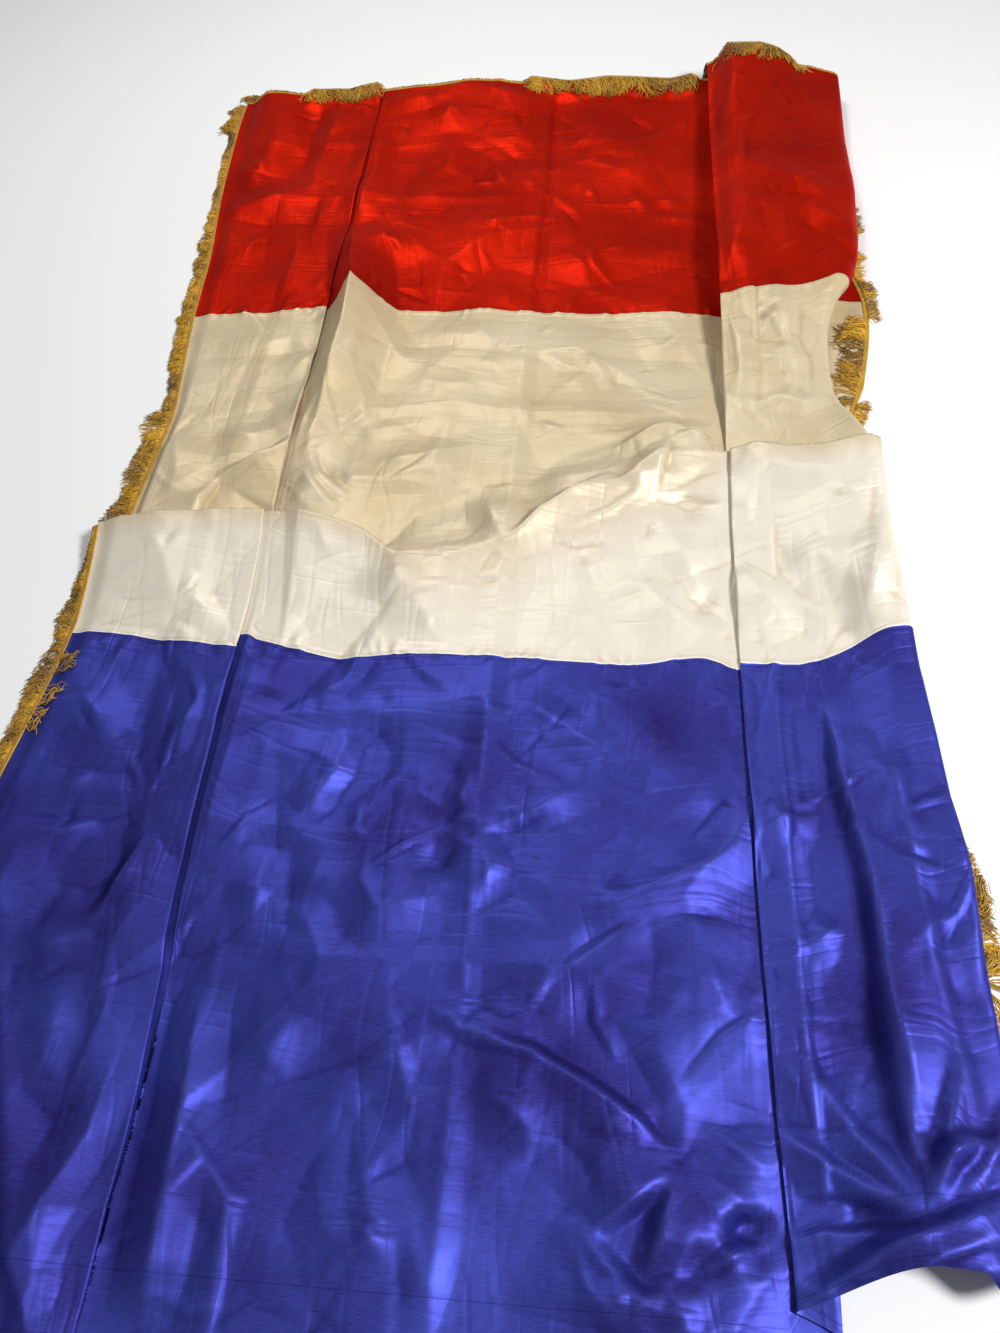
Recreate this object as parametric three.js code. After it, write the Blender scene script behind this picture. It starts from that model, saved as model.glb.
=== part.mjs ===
// A fringed tricolour flag of silk taffeta, laid on a flat surface with its long sides folded in.
// Millimetres, +Z up, +X across the flag, +Y along the fly towards the far end.
import * as THREE from 'three';

// Cut sizes
const BAND = 900; // length of each colour band along the fly
const SLEEVE = 80; // extra blue cloth turned over at the hoist
const HALF_WIDTH = 900; // cloth from the centre crease to either long edge
const FRINGE = 50; // heading and strands together
const HEADING = 10; // woven heading that carries the strands

// Cloth as a solid
const SHEET = 1.2; // thickness
const LAYER = 3.2; // height from one folded layer to the next
const TURN = 1.6; // radius of a pressed fold
const SEAM_GAP = 0.3; // clearance between neighbouring pieces
const TOOTH_SHARE = 0.75; // part of each fringe step that is strands, the rest is a gap

// The middle of the laid flag stands on the origin
const MIDDLE_X = -56;
const MIDDLE_Y = 434;

// Steps of each band along the fly
const BLUE_STEPS = 9;
const WHITE_STEPS = 15;
const RED_STEPS = 9;

const BLUE = 0x2b2a83;
const WHITE = 0xded3bc;
const RED = 0xc41f12;
const GOLD = 0xb8860f;

// Plan lines that run the length of the flag, as [y, x]; y is 0 at the blue and white seam
const LEFT_EDGE = [
  [-980, -800], [-500, -790], [-260, -760], [0, -735], [250, -738], [300, -708],
  [560, -698], [700, -712], [892, -733], [1100, -748], [1400, -785], [1800, -812],
];
const LEFT_FOLD = [[-980, -400], [-700, -405], [-400, -425], [0, -433], [900, -436], [1800, -440]];
const RIGHT_FOLD = [[-980, 414], [-700, 406], [0, 398], [900, 396], [1800, 398]];
const RIGHT_TUCK = 50; // how far the right pleat runs under
const RIGHT_ROLL = [
  [-980, 690], [-500, 690], [-200, 678], [100, 664], [430, 656], [500, 636], [560, 612],
  [640, 604], [750, 610], [850, 636], [930, 676], [1100, 700], [1500, 716], [1800, 722],
];
const RIGHT_EDGE = [
  [-980, 690], [-700, 655], [-580, 684], [-450, 684], [-300, 640], [400, 610], [560, 640],
  [640, 666], [880, 700], [1010, 682], [1100, 668], [1215, 694], [1330, 660], [1800, 690],
];

// How high the loose right-hand panel stands above its lower layers, as [y, height]
const PANEL_AT_FOLD = [[-980, 0], [500, 0], [750, 28], [900, 50], [1300, 45], [1800, 34]];
const PANEL_INSIDE = [[-980, 0], [300, 3], [600, 18], [900, 70], [1300, 78], [1800, 84]];
const PANEL_MIDDLE = [[-980, 18], [-500, 16], [0, 12], [450, 20], [600, 28], [900, 62], [1800, 84]];
const PANEL_ROLL = [
  [-980, 20], [-500, 26], [0, 34], [450, 44], [580, 20], [720, 28], [900, 84], [1100, 86],
  [1400, 60], [1800, 26],
];

// Ridge along the left pleat: [y, x] of its crest, [y, height], and its spread each way
const RIDGE_LINE = [[400, -404], [630, -382], [810, -369], [900, -369], [990, -384], [1230, -424]];
const RIDGE_HEIGHT = [[400, 0], [540, 26], [630, 52], [810, 90], [900, 103], [990, 82], [1100, 42], [1250, 0]];
const RIDGE_LEFT = 66;
const RIDGE_RIGHT = 92;

// Tuck across the white band: [x, y] of its crest and [x, height]
const TUCK_LINE = [
  [-760, 252], [-590, 270], [-430, 282], [-350, 276], [-250, 250], [-180, 200], [-100, 220],
  [0, 240], [100, 340], [200, 375], [290, 440], [475, 450],
];
const TUCK_HEIGHT = [[-800, 42], [-430, 42], [-180, 26], [0, 24], [100, 32], [300, 42]];
const TUCK_NEAR = 210; // length of its gentle slope
const TUCK_FAR = 45; // length of its steep slope

// Lift of the far edge, as [x, height], and where it begins
const FAR_LIFT = [[-800, 0], [-740, 16], [-600, 0], [-440, 12], [-300, 27], [-60, 27], [60, 14], [300, 16], [400, 30]];
const FAR_LIFT_FROM = 1450;

// Bunched cloth in the near right corner: [x, y] it gathers to, reach and height
const BUNCH = { x: 575, y: -800, reach: 190, height: 42, folds: 5 };

// Border fold in the near left corner: [y, x] and its height
const CORNER_LINE = [[-980, -452], [-880, -505], [-660, -600], [-560, -640]];
const CORNER_HEIGHT = [[-980, 26], [-660, 22], [-500, 0]];
const CORNER_LEFT = 45;
const CORNER_RIGHT = 120;

// How far the cloth lies from its straight place along the fly, by the cloth it was cut from:
// [distance across the cloth, shift]
const HOIST_SHIFT = [[0, 0], [1290, 0], [1330, 60], [1420, 100], [1550, 142], [1590, 140], [1620, 118], [1690, 140]];
const NEAR_SEAM_SHIFT = [
  [0, 30], [225, 12], [295, 2], [382, 17], [469, 33], [600, 2], [700, -10], [800, -2], [900, 0],
  [1120, -3], [1240, 17], [1300, -5], [1430, 6], [1490, 5], [1550, 20], [1640, 55], [1690, 60],
];
const FAR_SEAM_SHIFT = [[0, -8], [160, -6], [295, 5], [900, 4], [1300, -13], [1560, -10], [1690, 42]];
const FLY_SHIFT = [[0, -8], [120, -4], [295, 0], [900, 0], [1450, 0], [1600, -6], [1690, -50]];

// Lengths of the fringed edges where the strands are flipped back over the cloth
const FAR_FLIPS = [[110, 290], [876, 1275], [1440, 1585]]; // by the width of cloth to their left
const RIGHT_FLIPS = [[630, 890]]; // along the flag
const LEFT_FLIPS = [];

// Smooth curve through [place, value] pairs that never swings past them, level beyond both ends.
function along(points, place) {
  const last = points.length - 1;
  if (place <= points[0][0]) return points[0][1];
  if (place >= points[last][0]) return points[last][1];
  const i = points.findIndex((point) => point[0] > place) - 1;
  const steepness = (a) => (points[a + 1][1] - points[a][1]) / (points[a + 1][0] - points[a][0]);
  const knotSlope = (k) => {
    if (k === 0 || k === last) return 0;
    const [before, after] = [steepness(k - 1), steepness(k)];
    return before * after > 0 ? (2 * before * after) / (before + after) : 0;
  };
  const span = points[i + 1][0] - points[i][0];
  const f = (place - points[i][0]) / span;
  const rise = f * f * (3 - 2 * f);
  const ease = points[i][1] * (1 - rise) + points[i + 1][1] * rise;
  const lean = (1 - f) * knotSlope(i) - f * knotSlope(i + 1);
  return ease + f * (1 - f) * span * lean;
}

const mix = THREE.MathUtils.lerp;
const smooth = THREE.MathUtils.smoothstep;

// A crest's share of its full height at a signed distance across it.
function crestShare(distance, before, after) {
  return 1 - smooth(Math.abs(distance), 0, distance < 0 ? before : after);
}

// Height of the ground layer above the surface that the flag lies on.
function relief(x, y) {
  const ridge = along(RIDGE_HEIGHT, y) * crestShare(x - along(RIDGE_LINE, y), RIDGE_LEFT, RIDGE_RIGHT);
  const tuck = along(TUCK_HEIGHT, x) * crestShare(y - along(TUCK_LINE, x), TUCK_NEAR, TUCK_FAR);
  const farEdge = along(FAR_LIFT, x) * smooth(y, FAR_LIFT_FROM, 2 * BAND);
  const corner = along(CORNER_HEIGHT, y) * crestShare(x - along(CORNER_LINE, y), CORNER_LEFT, CORNER_RIGHT);
  return Math.max(0, ridge + tuck + farEdge + corner + bunch(x, y));
}

// Folds that run out from one gathered spot, deepest near it.
function bunch(x, y) {
  const away = Math.hypot(x - BUNCH.x, y - BUNCH.y);
  const turn = Math.atan2(y - BUNCH.y, x - BUNCH.x);
  const wave = 0.5 + 0.5 * Math.cos(BUNCH.folds * turn);
  return BUNCH.height * wave * smooth(away, 0, 40) * (1 - smooth(away, 60, BUNCH.reach));
}

// Height of the loose right-hand panel above its lower layers.
function panelHeight(x, y) {
  const fold = along(RIGHT_FOLD, y);
  const profile = [
    [fold, along(PANEL_AT_FOLD, y)],
    [fold + 60, along(PANEL_INSIDE, y)],
    [560, along(PANEL_MIDDLE, y)],
    [635, along(PANEL_ROLL, y)],
  ];
  return along(profile, x);
}

// Shift along the fly of the cloth that lies `across` its width, at straight place y.
function shift(across, y) {
  const hoist = along(HOIST_SHIFT, across);
  const near = along(NEAR_SEAM_SHIFT, across);
  const far = along(FAR_SEAM_SHIFT, across);
  const fly = along(FLY_SHIFT, across);
  if (y < 0) return mix(near, hoist, smooth(-y, 0, BAND) * 0.5 - y / BAND * 0.5);
  if (y < BAND) return mix(near, far, y / BAND);
  return mix(far, fly, y / BAND - 1);
}

// One section across the flag, from the left edge to the right edge, with its layers back and
// forth. Each point is {x, layer, panel, across}: its place, its layer above the ground layer,
// its share of the loose panel's height, and the width of cloth to its left.
function section(y) {
  const leftEdge = along(LEFT_EDGE, y);
  const leftFold = along(LEFT_FOLD, y);
  const leftTuck = (HALF_WIDTH + leftEdge) / 2;
  const rightFold = along(RIGHT_FOLD, y);
  const roll = along(RIGHT_ROLL, y);
  const rollHeight = along(PANEL_ROLL, y) / 2 + LAYER / 2;
  const rightEdge = along(RIGHT_EDGE, y);
  const under = (2 * roll + 2 * RIGHT_TUCK + rightEdge - HALF_WIDTH) / 2;
  const ridge = along(RIDGE_LINE, y);
  const ridgeFoot = ridge + RIDGE_RIGHT;
  const points = [{ x: leftEdge, layer: 0, panel: 0, across: 0 }];

  const run = (x, layer, panel, across, steps) => {
    const start = points[points.length - 1];
    for (let i = 1; i <= steps; i += 1) {
      const f = i / steps;
      points.push({
        x: mix(start.x, x, f),
        layer: mix(start.layer, layer, f),
        panel: mix(start.panel, panel, f),
        across: mix(start.across, across, f),
      });
    }
  };

  // Left panel, up over its own pleat, then under and out again
  run(leftFold - leftTuck - 45, 0, 0, 180, 3);
  run(leftFold - leftTuck - 12, 2, 0, 215, 1);
  run(leftFold - TURN, 2, 0, 294, 1);
  run(leftFold, 1.5, 0, 296, 1);
  run(leftFold - TURN, 1, 0, 298, 1);
  run(leftFold - leftTuck + TURN, 1, 0, 380, 1);
  run(leftFold - leftTuck, 0.5, 0, 382, 1);
  run(leftFold - leftTuck + TURN, 0, 0, 384, 1);
  run(leftFold + 4, 0, 0, 469, 1);
  // Middle of the flag over the ridge and on to the right pleat
  run(ridge, 0, 0, 531, 2);
  run(ridgeFoot, 0, 0, 623, 2);
  run(rightFold + RIGHT_TUCK - TURN, 0, 0, 1348, 11);
  run(rightFold + RIGHT_TUCK, 0.5, 0, 1350, 1);
  run(rightFold + RIGHT_TUCK - TURN, 1, 0, 1352, 1);
  run(rightFold + TURN, 1, 1, 1398, 1);
  run(rightFold, 1.5, 1, 1400, 1);
  run(rightFold + TURN, 2, 1, 1402, 1);
  // Loose right-hand panel and its rolled side
  run(rightFold + 60, 2, 1, 1460, 2);
  run(roll - rollHeight, 2, 1, 1660, 3);
  for (let i = 1; i < 4; i += 1) {
    const turn = (i * Math.PI) / 4;
    const share = (1 + Math.cos(turn)) / 2;
    run(roll - rollHeight * (1 - Math.sin(turn)), 1 + share, share, 1660 + i * 10, 1);
  }
  run(roll - rollHeight, 1, 0, 1700, 1);
  run(under + TURN, 1, 0, 1738, 1);
  run(under, 0.5, 0, 1740, 1);
  run(under + TURN, 0, 0, 1742, 1);
  run(rightEdge, 0, 0, 1800, 2);
  return points;
}

// The section at straight place y, as points of the middle of the sheet.
function clothRow(y) {
  return section(y).map(({ x, layer, panel, across }) => {
    const laidY = y + shift(across, y);
    const height = relief(x, laidY) + panel * panelHeight(x, y) + layer * LAYER + SHEET / 2;
    return new THREE.Vector3(x, laidY, height);
  });
}

// Directions square to a row, in its own upright plane.
function rowNormals(row) {
  return row.map((point, i) => {
    const before = row[Math.max(i - 1, 0)];
    const after = row[Math.min(i + 1, row.length - 1)];
    return new THREE.Vector3(before.z - after.z, 0, after.x - before.x).normalize();
  });
}

// A closed sheet through rows of points. `keep(i, j)` says which cells between rows hold cloth.
function sheet(rows, normals, keep = () => true) {
  const columns = rows[0].length;
  const positions = [];
  rows.forEach((row, i) => row.forEach((point, j) => {
    for (const side of [1, -1]) {
      const face = point.clone().addScaledVector(normals[i][j], (side * SHEET) / 2);
      positions.push(face.x - MIDDLE_X, face.y - MIDDLE_Y, Math.max(0, face.z));
    }
  }));
  const top = (i, j) => 2 * (i * columns + j);
  const bottom = (i, j) => top(i, j) + 1;
  const filled = (i, j) => i >= 0 && j >= 0 && i < rows.length - 1 && j < columns - 1 && keep(i, j);
  const index = [];
  const quad = (a, b, c, d) => index.push(a, b, c, a, c, d);
  const wall = (a, b) => quad(bottom(...a), bottom(...b), top(...b), top(...a));
  for (let i = 0; i < rows.length - 1; i += 1) {
    for (let j = 0; j < columns - 1; j += 1) {
      if (!filled(i, j)) continue;
      const [near, right, far, left] = [[i, j], [i, j + 1], [i + 1, j + 1], [i + 1, j]];
      quad(top(...near), top(...right), top(...far), top(...left));
      quad(bottom(...near), bottom(...left), bottom(...far), bottom(...right));
      if (!filled(i - 1, j)) wall(near, right);
      if (!filled(i, j + 1)) wall(right, far);
      if (!filled(i + 1, j)) wall(far, left);
      if (!filled(i, j - 1)) wall(left, near);
    }
  }
  const geometry = new THREE.BufferGeometry();
  geometry.setAttribute('position', new THREE.Float32BufferAttribute(positions, 3));
  geometry.setIndex(index);
  geometry.computeVertexNormals();
  return geometry;
}

// Straight places of a band's rows along the fly.
function places(from, to, steps) {
  return Array.from({ length: steps + 1 }, (_, i) => mix(from, to, i / steps));
}

// One colour band through rows at these places.
function band(rowPlaces) {
  const rows = rowPlaces.map(clothRow);
  return sheet(rows, rows.map(rowNormals));
}

// One step of the comb's outline: distance out from the cloth's edge, height above the heading,
// and the direction that the sheet faces there, as shares of outward and up.
const LYING = [
  { out: SEAM_GAP, rise: 0, faces: [0, 1] },
  { out: HEADING, rise: 0, faces: [0, 1] },
  { out: HEADING + 4, rise: 0, faces: [0, 1] },
  { out: FRINGE, rise: 0, faces: [0, 1] },
];
const FLIPPED = [
  LYING[0],
  LYING[1],
  { out: HEADING + 2, rise: 2.2, faces: [-1, 0] },
  { out: 2 * HEADING - FRINGE, rise: 4.8, faces: [0, -1] },
];

// Comb along an edge. Each edge point is {point, rest, faces, flipped}: its place, the height
// that its strands droop to, the direction the cloth faces there, and whether they are flipped.
function comb(edge, outward, isTooth) {
  const up = new THREE.Vector3(0, 0, 1);
  const rows = edge.map(({ point, rest, flipped }) => (flipped ? FLIPPED : LYING).map((step) => {
    const place = point.clone().addScaledVector(outward, step.out);
    const drooped = mix(point.z, rest, smooth(step.out, HEADING, FRINGE));
    const laid = Math.min(drooped, relief(place.x, place.y) + rest);
    return place.setZ((flipped ? point.z : laid) + step.rise);
  }));
  const normals = edge.map(({ faces, flipped }) => (flipped ? FLIPPED : LYING).map((step) => (
    flipped
      ? outward.clone().multiplyScalar(step.faces[0]).addScaledVector(up, step.faces[1])
      : faces
  )));
  return sheet(rows, normals, (i, j) => j === 0 || isTooth(i));
}

// Edge points with an extra one where each tooth ends, so that every second cell is a gap.
function withToothEnds(edge, isFlipped) {
  return edge.slice(0, -1).flatMap((start, i) => {
    const end = edge[i + 1];
    const toothEnd = {
      point: start.point.clone().lerp(end.point, TOOTH_SHARE),
      rest: mix(start.rest, end.rest, TOOTH_SHARE),
      faces: start.faces.clone().lerp(end.faces, TOOTH_SHARE).normalize(),
    };
    const flipped = isFlipped(start) && isFlipped(end);
    return [{ ...start, flipped }, { ...toothEnd, flipped }];
  }).concat([{ ...edge[edge.length - 1], flipped: false }]);
}

const within = (spans, place) => spans.some(([from, to]) => place > from && place < to);

// Fringe along the far edge. It follows the folded section; tight turns carry only heading.
function farFringe() {
  const farEnd = 2 * BAND;
  const row = clothRow(farEnd);
  const normals = rowNormals(row);
  const edge = section(farEnd).map(({ layer, across }, i) => (
    { point: row[i], rest: layer * LAYER + SHEET / 2, faces: normals[i], across }
  ));
  const steps = withToothEnds(edge, ({ across }) => within(FAR_FLIPS, across)).reverse();
  const isTooth = (i) => i % 2 === 1 && steps[i].point.distanceTo(steps[i + 1].point) > 4 * TURN;
  return comb(steps, new THREE.Vector3(0, 1, 0), isTooth);
}

// Fringe along a long edge; `side` is -1 for the left edge and 1 for the right.
function sideFringe(side, rowPlaces, flips) {
  const up = new THREE.Vector3(0, 0, 1);
  const edge = rowPlaces.map((y) => {
    const row = clothRow(y);
    return { point: side < 0 ? row[0] : row[row.length - 1], rest: SHEET / 2, faces: up };
  });
  const steps = withToothEnds(edge, ({ point }) => within(flips, point.y));
  if (side > 0) return comb(steps, new THREE.Vector3(side, 0, 0), (i) => i % 2 === 0);
  return comb(steps.reverse(), new THREE.Vector3(side, 0, 0), (i) => i % 2 === 1);
}

function piece(name, geometry, color, roughness) {
  const material = new THREE.MeshStandardMaterial({ color, roughness, metalness: 0 });
  const mesh = new THREE.Mesh(geometry, material);
  mesh.name = name;
  return mesh;
}

const bluePlaces = [-BAND - SLEEVE, ...places(-BAND, -SEAM_GAP / 2, BLUE_STEPS)];
const whitePlaces = places(SEAM_GAP / 2, BAND - SEAM_GAP / 2, WHITE_STEPS);
const redPlaces = places(BAND + SEAM_GAP / 2, 2 * BAND, RED_STEPS);
const sidePlaces = [...bluePlaces.slice(1), ...whitePlaces, ...redPlaces];

const flag = new THREE.Group();
flag.add(
  piece('blue_band', band(bluePlaces), BLUE, 0.38),
  piece('white_band', band(whitePlaces), WHITE, 0.42),
  piece('red_band', band(redPlaces), RED, 0.38),
  piece('fringe_left', sideFringe(-1, sidePlaces, LEFT_FLIPS), GOLD, 0.7),
  piece('fringe_far', farFringe(), GOLD, 0.7),
  piece('fringe_right', sideFringe(1, sidePlaces, RIGHT_FLIPS), GOLD, 0.7),
);

export default flag;
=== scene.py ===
"""Looks of a fringed tricolour flag of silk taffeta, laid flat with its long sides folded in."""
import math

import bpy
import numpy as np
from mathutils import Matrix, Vector
from mathutils.bvhtree import BVHTree
from mathutils.geometry import delaunay_2d_cdt


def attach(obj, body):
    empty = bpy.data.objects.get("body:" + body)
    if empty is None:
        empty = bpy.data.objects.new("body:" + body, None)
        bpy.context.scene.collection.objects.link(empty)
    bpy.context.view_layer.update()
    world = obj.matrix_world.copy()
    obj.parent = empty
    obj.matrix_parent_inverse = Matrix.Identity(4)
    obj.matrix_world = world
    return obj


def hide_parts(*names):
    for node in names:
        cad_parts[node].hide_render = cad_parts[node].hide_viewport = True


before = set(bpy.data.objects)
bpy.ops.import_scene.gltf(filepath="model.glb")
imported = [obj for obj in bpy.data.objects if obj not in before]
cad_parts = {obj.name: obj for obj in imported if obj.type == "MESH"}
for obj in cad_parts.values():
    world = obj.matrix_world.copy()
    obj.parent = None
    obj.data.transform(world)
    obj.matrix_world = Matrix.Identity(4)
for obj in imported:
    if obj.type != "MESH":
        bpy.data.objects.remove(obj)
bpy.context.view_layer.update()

MM = 0.001  # sizes below are in millimetres, unless a comment says metres

# -------- sizes
BAND = 900
SLEEVE = 80
WIDTH = 1800  # of the unfolded cloth
HEADING = 8  # woven part of the fringe
HEADING_OUTLINE = [  # its section, as (outward, up)
    (-1.5, 0.6), (-1.0, 1.9), (0.4, 2.1), (1.2, 1.3), (HEADING - 1, 1.1), (HEADING, 0.4),
    (HEADING - 1, -0.2), (-1.0, -0.2),
]
HEADING_TONE = 0.55
FRINGE = 50  # heading and strand together
FLIPPED_FRINGE = 66  # where the strands are flipped over, they read longer
STRAND_RADIUS = 0.95
STRAND_POINTS = 8
STRAND_SIDES = 3
CLOSEST_ROOTS = 2.5  # points of an edge closer than this count as one
LOWEST = 0.05  # nothing of the fringe goes below this
SHEET = 0.4  # thickness of the silk
LAYER = 2.4  # height from one folded layer to the next
TURN = LAYER / 2  # bulge of a pressed fold
SEAM_LAP = 0.8  # the white lies this far over its neighbours,
SEAM_UNDER = 0.3  # which end this far below it
SEAM = 7
SEAM_RISE = 0.9
HEM = 12
HEM_RISE = 0.5
ROWS_BESIDE_SEAM = [0, 1.5, 3, 5, 7, 9]  # of a band's mesh, from its ends
HIGHEST = 128  # no cloth is higher, and no strand higher than STRAND_HIGHEST
STRAND_HIGHEST = 137
FINE = 1.28  # density of the stations across the flag
MIDDLE = (-56, 434, 0)  # point of the flag where the frame has its zero

# Width of cloth to the left of each fold of the section, and how much of it a fold takes
FOLD = 4
LEFT_PLEAT_OUTER = 294
LEFT_PLEAT_INNER = 380
RIGHT_PLEAT_INNER = 1348
RIGHT_PLEAT_OUTER = 1398
ROLL_START = 1660
ROLL_END = 1700
UNDER_FOLD = 1738
COVERING_END = 1470  # from the right pleat up to here the panel covers creases of the middle

# Plan lines along the flag, as [y, x]; y is 0 at the blue and white seam
LEFT_EDGE = [
    [-980, -800], [-500, -790], [-260, -760], [0, -735], [250, -738], [300, -708],
    [560, -698], [700, -712], [892, -733], [1100, -748], [1400, -785], [1800, -812],
]
LEFT_FOLD = [[-980, -400], [-700, -405], [-400, -425], [0, -433], [900, -436], [1800, -440]]
RIGHT_FOLD = [[-980, 414], [-700, 406], [0, 398], [900, 396], [1800, 398]]
RIGHT_TUCK = 50
LEFT_PANEL_END = -436  # x, where a small crease changes from one panel to the next
RIGHT_PANEL_START = 398
RIGHT_ROLL = [
    [-980, 690], [-500, 690], [-200, 678], [100, 664], [430, 656], [500, 636], [560, 612],
    [640, 604], [750, 610], [850, 636], [930, 676], [1100, 700], [1500, 716], [1800, 722],
]
RIGHT_EDGE = [
    [-980, 690], [-700, 655], [-580, 684], [-450, 684], [-300, 640], [400, 610], [560, 640],
    [640, 666], [880, 700], [1010, 682], [1100, 668], [1215, 694], [1330, 660], [1800, 690],
]

# Height of the loose right-hand panel above its lower layers, as [y, height]
PANEL_AT_FOLD = [[-980, 0], [500, 0], [750, 28], [900, 50], [1300, 45], [1800, 34]]
PANEL_INSIDE = [[-980, 0], [300, 3], [600, 18], [900, 70], [1300, 78], [1800, 84]]
PANEL_MIDDLE = [
    [-980, 18], [-500, 16], [0, 12], [450, 20], [600, 28], [900, 58], [1500, 72], [1800, 60],
]
PANEL_INSIDE_FROM_FOLD = 60
PANEL_MIDDLE_X = 560
PANEL_ROLL = [
    [-980, 20], [-500, 26], [0, 34], [450, 44], [580, 20], [720, 28], [900, 66], [1100, 68],
    [1400, 60], [1800, 26],
]
PANEL_ROLL_X = 635

# Ridge along the left pleat, tuck across the white band, far edge, corner and bunch
RIDGE_LINE = [[400, -404], [630, -382], [810, -369], [900, -369], [990, -384], [1230, -424]]
RIDGE_HEIGHT = [[400, 0], [540, 26], [630, 52], [810, 90], [900, 103], [990, 82], [1100, 42], [1250, 0]]
RIDGE_LEFT = 66
RIDGE_RIGHT = 92
TUCK_LINE = [
    [-760, 252], [-590, 270], [-430, 282], [-350, 276], [-250, 250], [-180, 200], [-100, 220],
    [0, 240], [100, 340], [200, 375], [290, 440], [475, 450],
]
TUCK_HEIGHT = [[-800, 42], [-430, 42], [-180, 26], [0, 24], [100, 32], [300, 42]]
TUCK_NEAR = 210  # depth of its slope towards the camera
TUCK_LIP = 14  # depth of its far side where it is sharp, and where it is soft
TUCK_SOFT_LIP = 130
TUCK_SOFTENS = [-235, -150]  # x, where it changes from sharp to soft, and back
TUCK_SHARPENS = [330, 400]
TUCK_OVERLAP = 20  # the sharp part leans this far over the cloth behind it,
TUCK_OVERLAP_END = 150  # and that cloth is pushed along with it up to here
PAINTED_LIGHT_FULL_UP_TO = [-60, -200]  # the cloth before it has painted light, a paler colour; how far from its line that ends, where it is sharp and where it is soft
PAINTED_LIGHT_GONE_FROM = [20, 110]  # where it is sharp and where it is soft
FAR_LIFT = [
    [-800, 0], [-740, 16], [-600, 0], [-440, 12], [-300, 27], [-60, 27], [60, 14], [300, 16], [400, 30],
]
FAR_LIFT_FROM = 1450
FAR_LIP = 18
FAR_LIP_DEPTH = 75
BUNCH_X = 575
BUNCH_Y = -800
BUNCH_REACH = 190
BUNCH_HEIGHT = 20
CORNER_LINE = [[-980, -452], [-880, -505], [-660, -600], [-560, -640]]
CORNER_HEIGHT = [[-980, 26], [-660, 22], [-500, 0]]
CORNER_LEFT = 45
CORNER_RIGHT = 120

# Shift along the fly by the width of cloth to the left
HOIST_SHIFT = [
    [0, 0], [1290, 0], [1330, 60], [1420, 100], [1550, 142], [1590, 140], [1620, 118], [1690, 140],
]
NEAR_SEAM_SHIFT = [
    [0, 30], [225, 12], [295, 2], [382, 17], [469, 33], [600, 2], [700, -10], [800, -2], [900, 0],
    [1120, -3], [1240, 17], [1300, -5], [1430, 6], [1490, 5], [1550, 20], [1640, 55], [1690, 60],
]
FAR_SEAM_SHIFT = [
    [0, -8], [160, -6], [295, 5], [900, 4], [1300, -13], [1500, -8], [1580, 6], [1640, 26], [1690, 48],
]
FLY_SHIFT = [[0, -8], [120, -4], [295, 0], [900, 0], [1450, 0], [1600, -6], [1690, -50]]

# Share of the crumpling kept in the layers of the two pleats, as [width of cloth, share]
PRESSED = [
    [294, 1], [302, 0.9], [380, 0.9], [388, 0.78], [462, 0.78], [488, 1],
    [1278, 1], [1300, 0.78], [1346, 0.78], [1354, 0.9], [1396, 0.9], [1404, 1],
]
UNDER_SHARE = 0.3  # of the creases that the under-tuck keeps
FLAT_AT_LEFT = 40  # width of cloth over which the crumpling fades towards each edge
FLAT_AT_RIGHT = 60
EDGE_SHARE = 0.15  # of the crumpling that is left at the edges
SHARP_BEND = 0.05  # bend of the cloth that gets the full painted highlight or painted shade

# Where the strands are flipped back over the cloth
FAR_FLIPS = [[110, 290], [876, 1275], [1440, 1585]]  # by the width of cloth to their left
RIGHT_FLIPS = [[630, 890]]  # along the flag
LEFT_LOOSE = [[-180, 0]]  # along the flag; only some of them, over the blue
LEFT_LOOSE_SHARE = 0.33

# Share of their length that the strands reach out, as [y, share] or [width of cloth, share]
LEFT_REACH = [
    [-900, 0.95], [-420, 0.8], [-200, 0.62], [-60, 0.78], [40, 0.7], [200, 0.42], [255, 0.5], [270, 1],
    [500, 0.95], [545, 1.1], [590, 0.5], [760, 0.62], [1180, 0.66], [1260, 0.36], [1600, 0.34],
    [1660, 0.9], [1720, 0.6], [1800, 0.8],
]
RIGHT_REACH = [
    [-900, 0.8], [-460, 1.05], [-380, 0.7], [600, 0.7], [700, 1], [860, 1], [1000, 0.9], [1800, 0.8],
]
FAR_REACH = [[0, 0.8], [600, 0.8], [900, 0.9], [1240, 0.95], [1420, 1], [1800, 0.8]]

# -------- creases, placed one by one
# Each is (height, width to the left of its run, width to the right, x, y, x, y, ...), and it is
# grouped by the panel that carries it. Heights are times CREASE_GAIN, widths times CREASE_SPREAD.
CREASE_GAIN = 2.1
CREASE_SPREAD = 1.5
LONGEST_FADE = 90.0  # each crease runs out over this length or over 0.45 of its own
PLACED = {}  # L left outer panel, M middle, R loose right panel, A all of them
PLACED["A"] = [
    # pressed lines right across
    (-1.8, 30, 22, -740, 745, -560, 748, -440, 768, -300, 772, -190, 785, 0, 765, 200, 755, 400, 740),
    (1.5, 24, 24, -720, -138, -560, -142, -430, -140, -300, -118, 0, -105, 200, -112),
    (-3.0, 34, 20, 270, -694, 400, -685, 560, -690, 690, -684),
    (1.4, 22, 22, -740, 1330, -500, 1322, -300, 1328, -20, 1320),
    (1.2, 22, 22, -760, 1560, -400, 1556, -100, 1562, 200, 1552, 395, 1560),
]
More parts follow.
